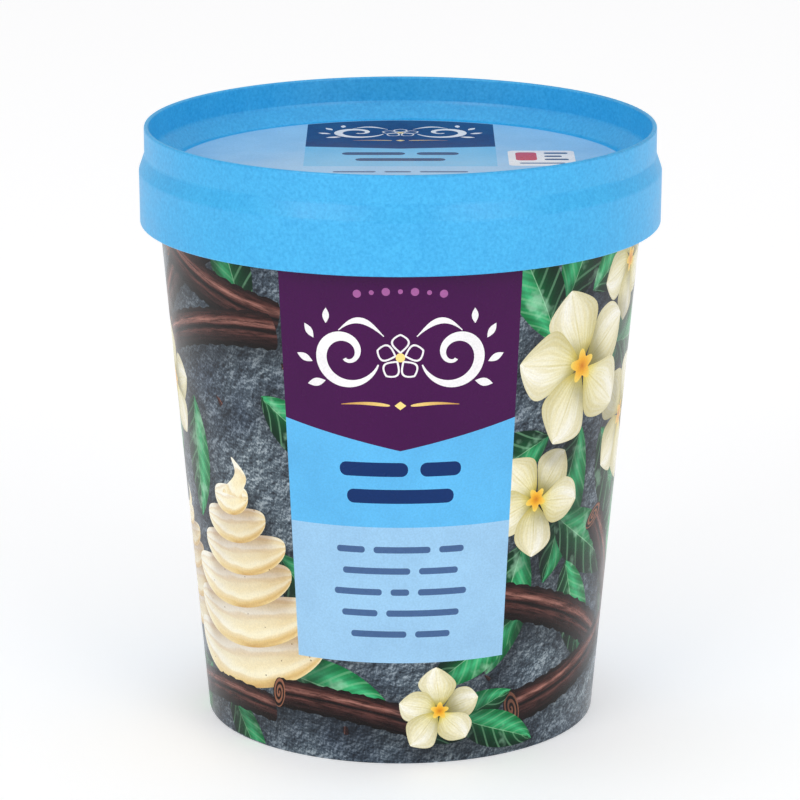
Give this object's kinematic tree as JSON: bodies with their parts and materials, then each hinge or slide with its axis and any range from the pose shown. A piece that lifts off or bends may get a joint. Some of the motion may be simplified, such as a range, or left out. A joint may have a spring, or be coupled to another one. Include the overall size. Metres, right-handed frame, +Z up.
{
  "type": "ice cream carton",
  "caption": "Tapered round paperboard ice cream tub with a folded foot and rolled rim, shut by a snapped-on plastic lid with a sunken printed panel.",
  "frame": {"origin": "centre of the tub's foot, on the surface that it stands on", "axes": "+Z up along the tub's axis, -Y out of the front panel of the print, +X to the viewer's right"},
  "size_m": [0.098, 0.098, 0.1137],
  "materials": {
    "tub_print": "semi-gloss print",
    "base_board": "matte uncoated",
    "lid_plastic": "fine matte texture",
    "label_print": "semi-gloss print"
  },
  "bodies": {
    "root": {"tub": "tub_print", "tub_base": "base_board", "lid": "lid_plastic", "lid_label": "label_print"}
  },
  "joints": []
}
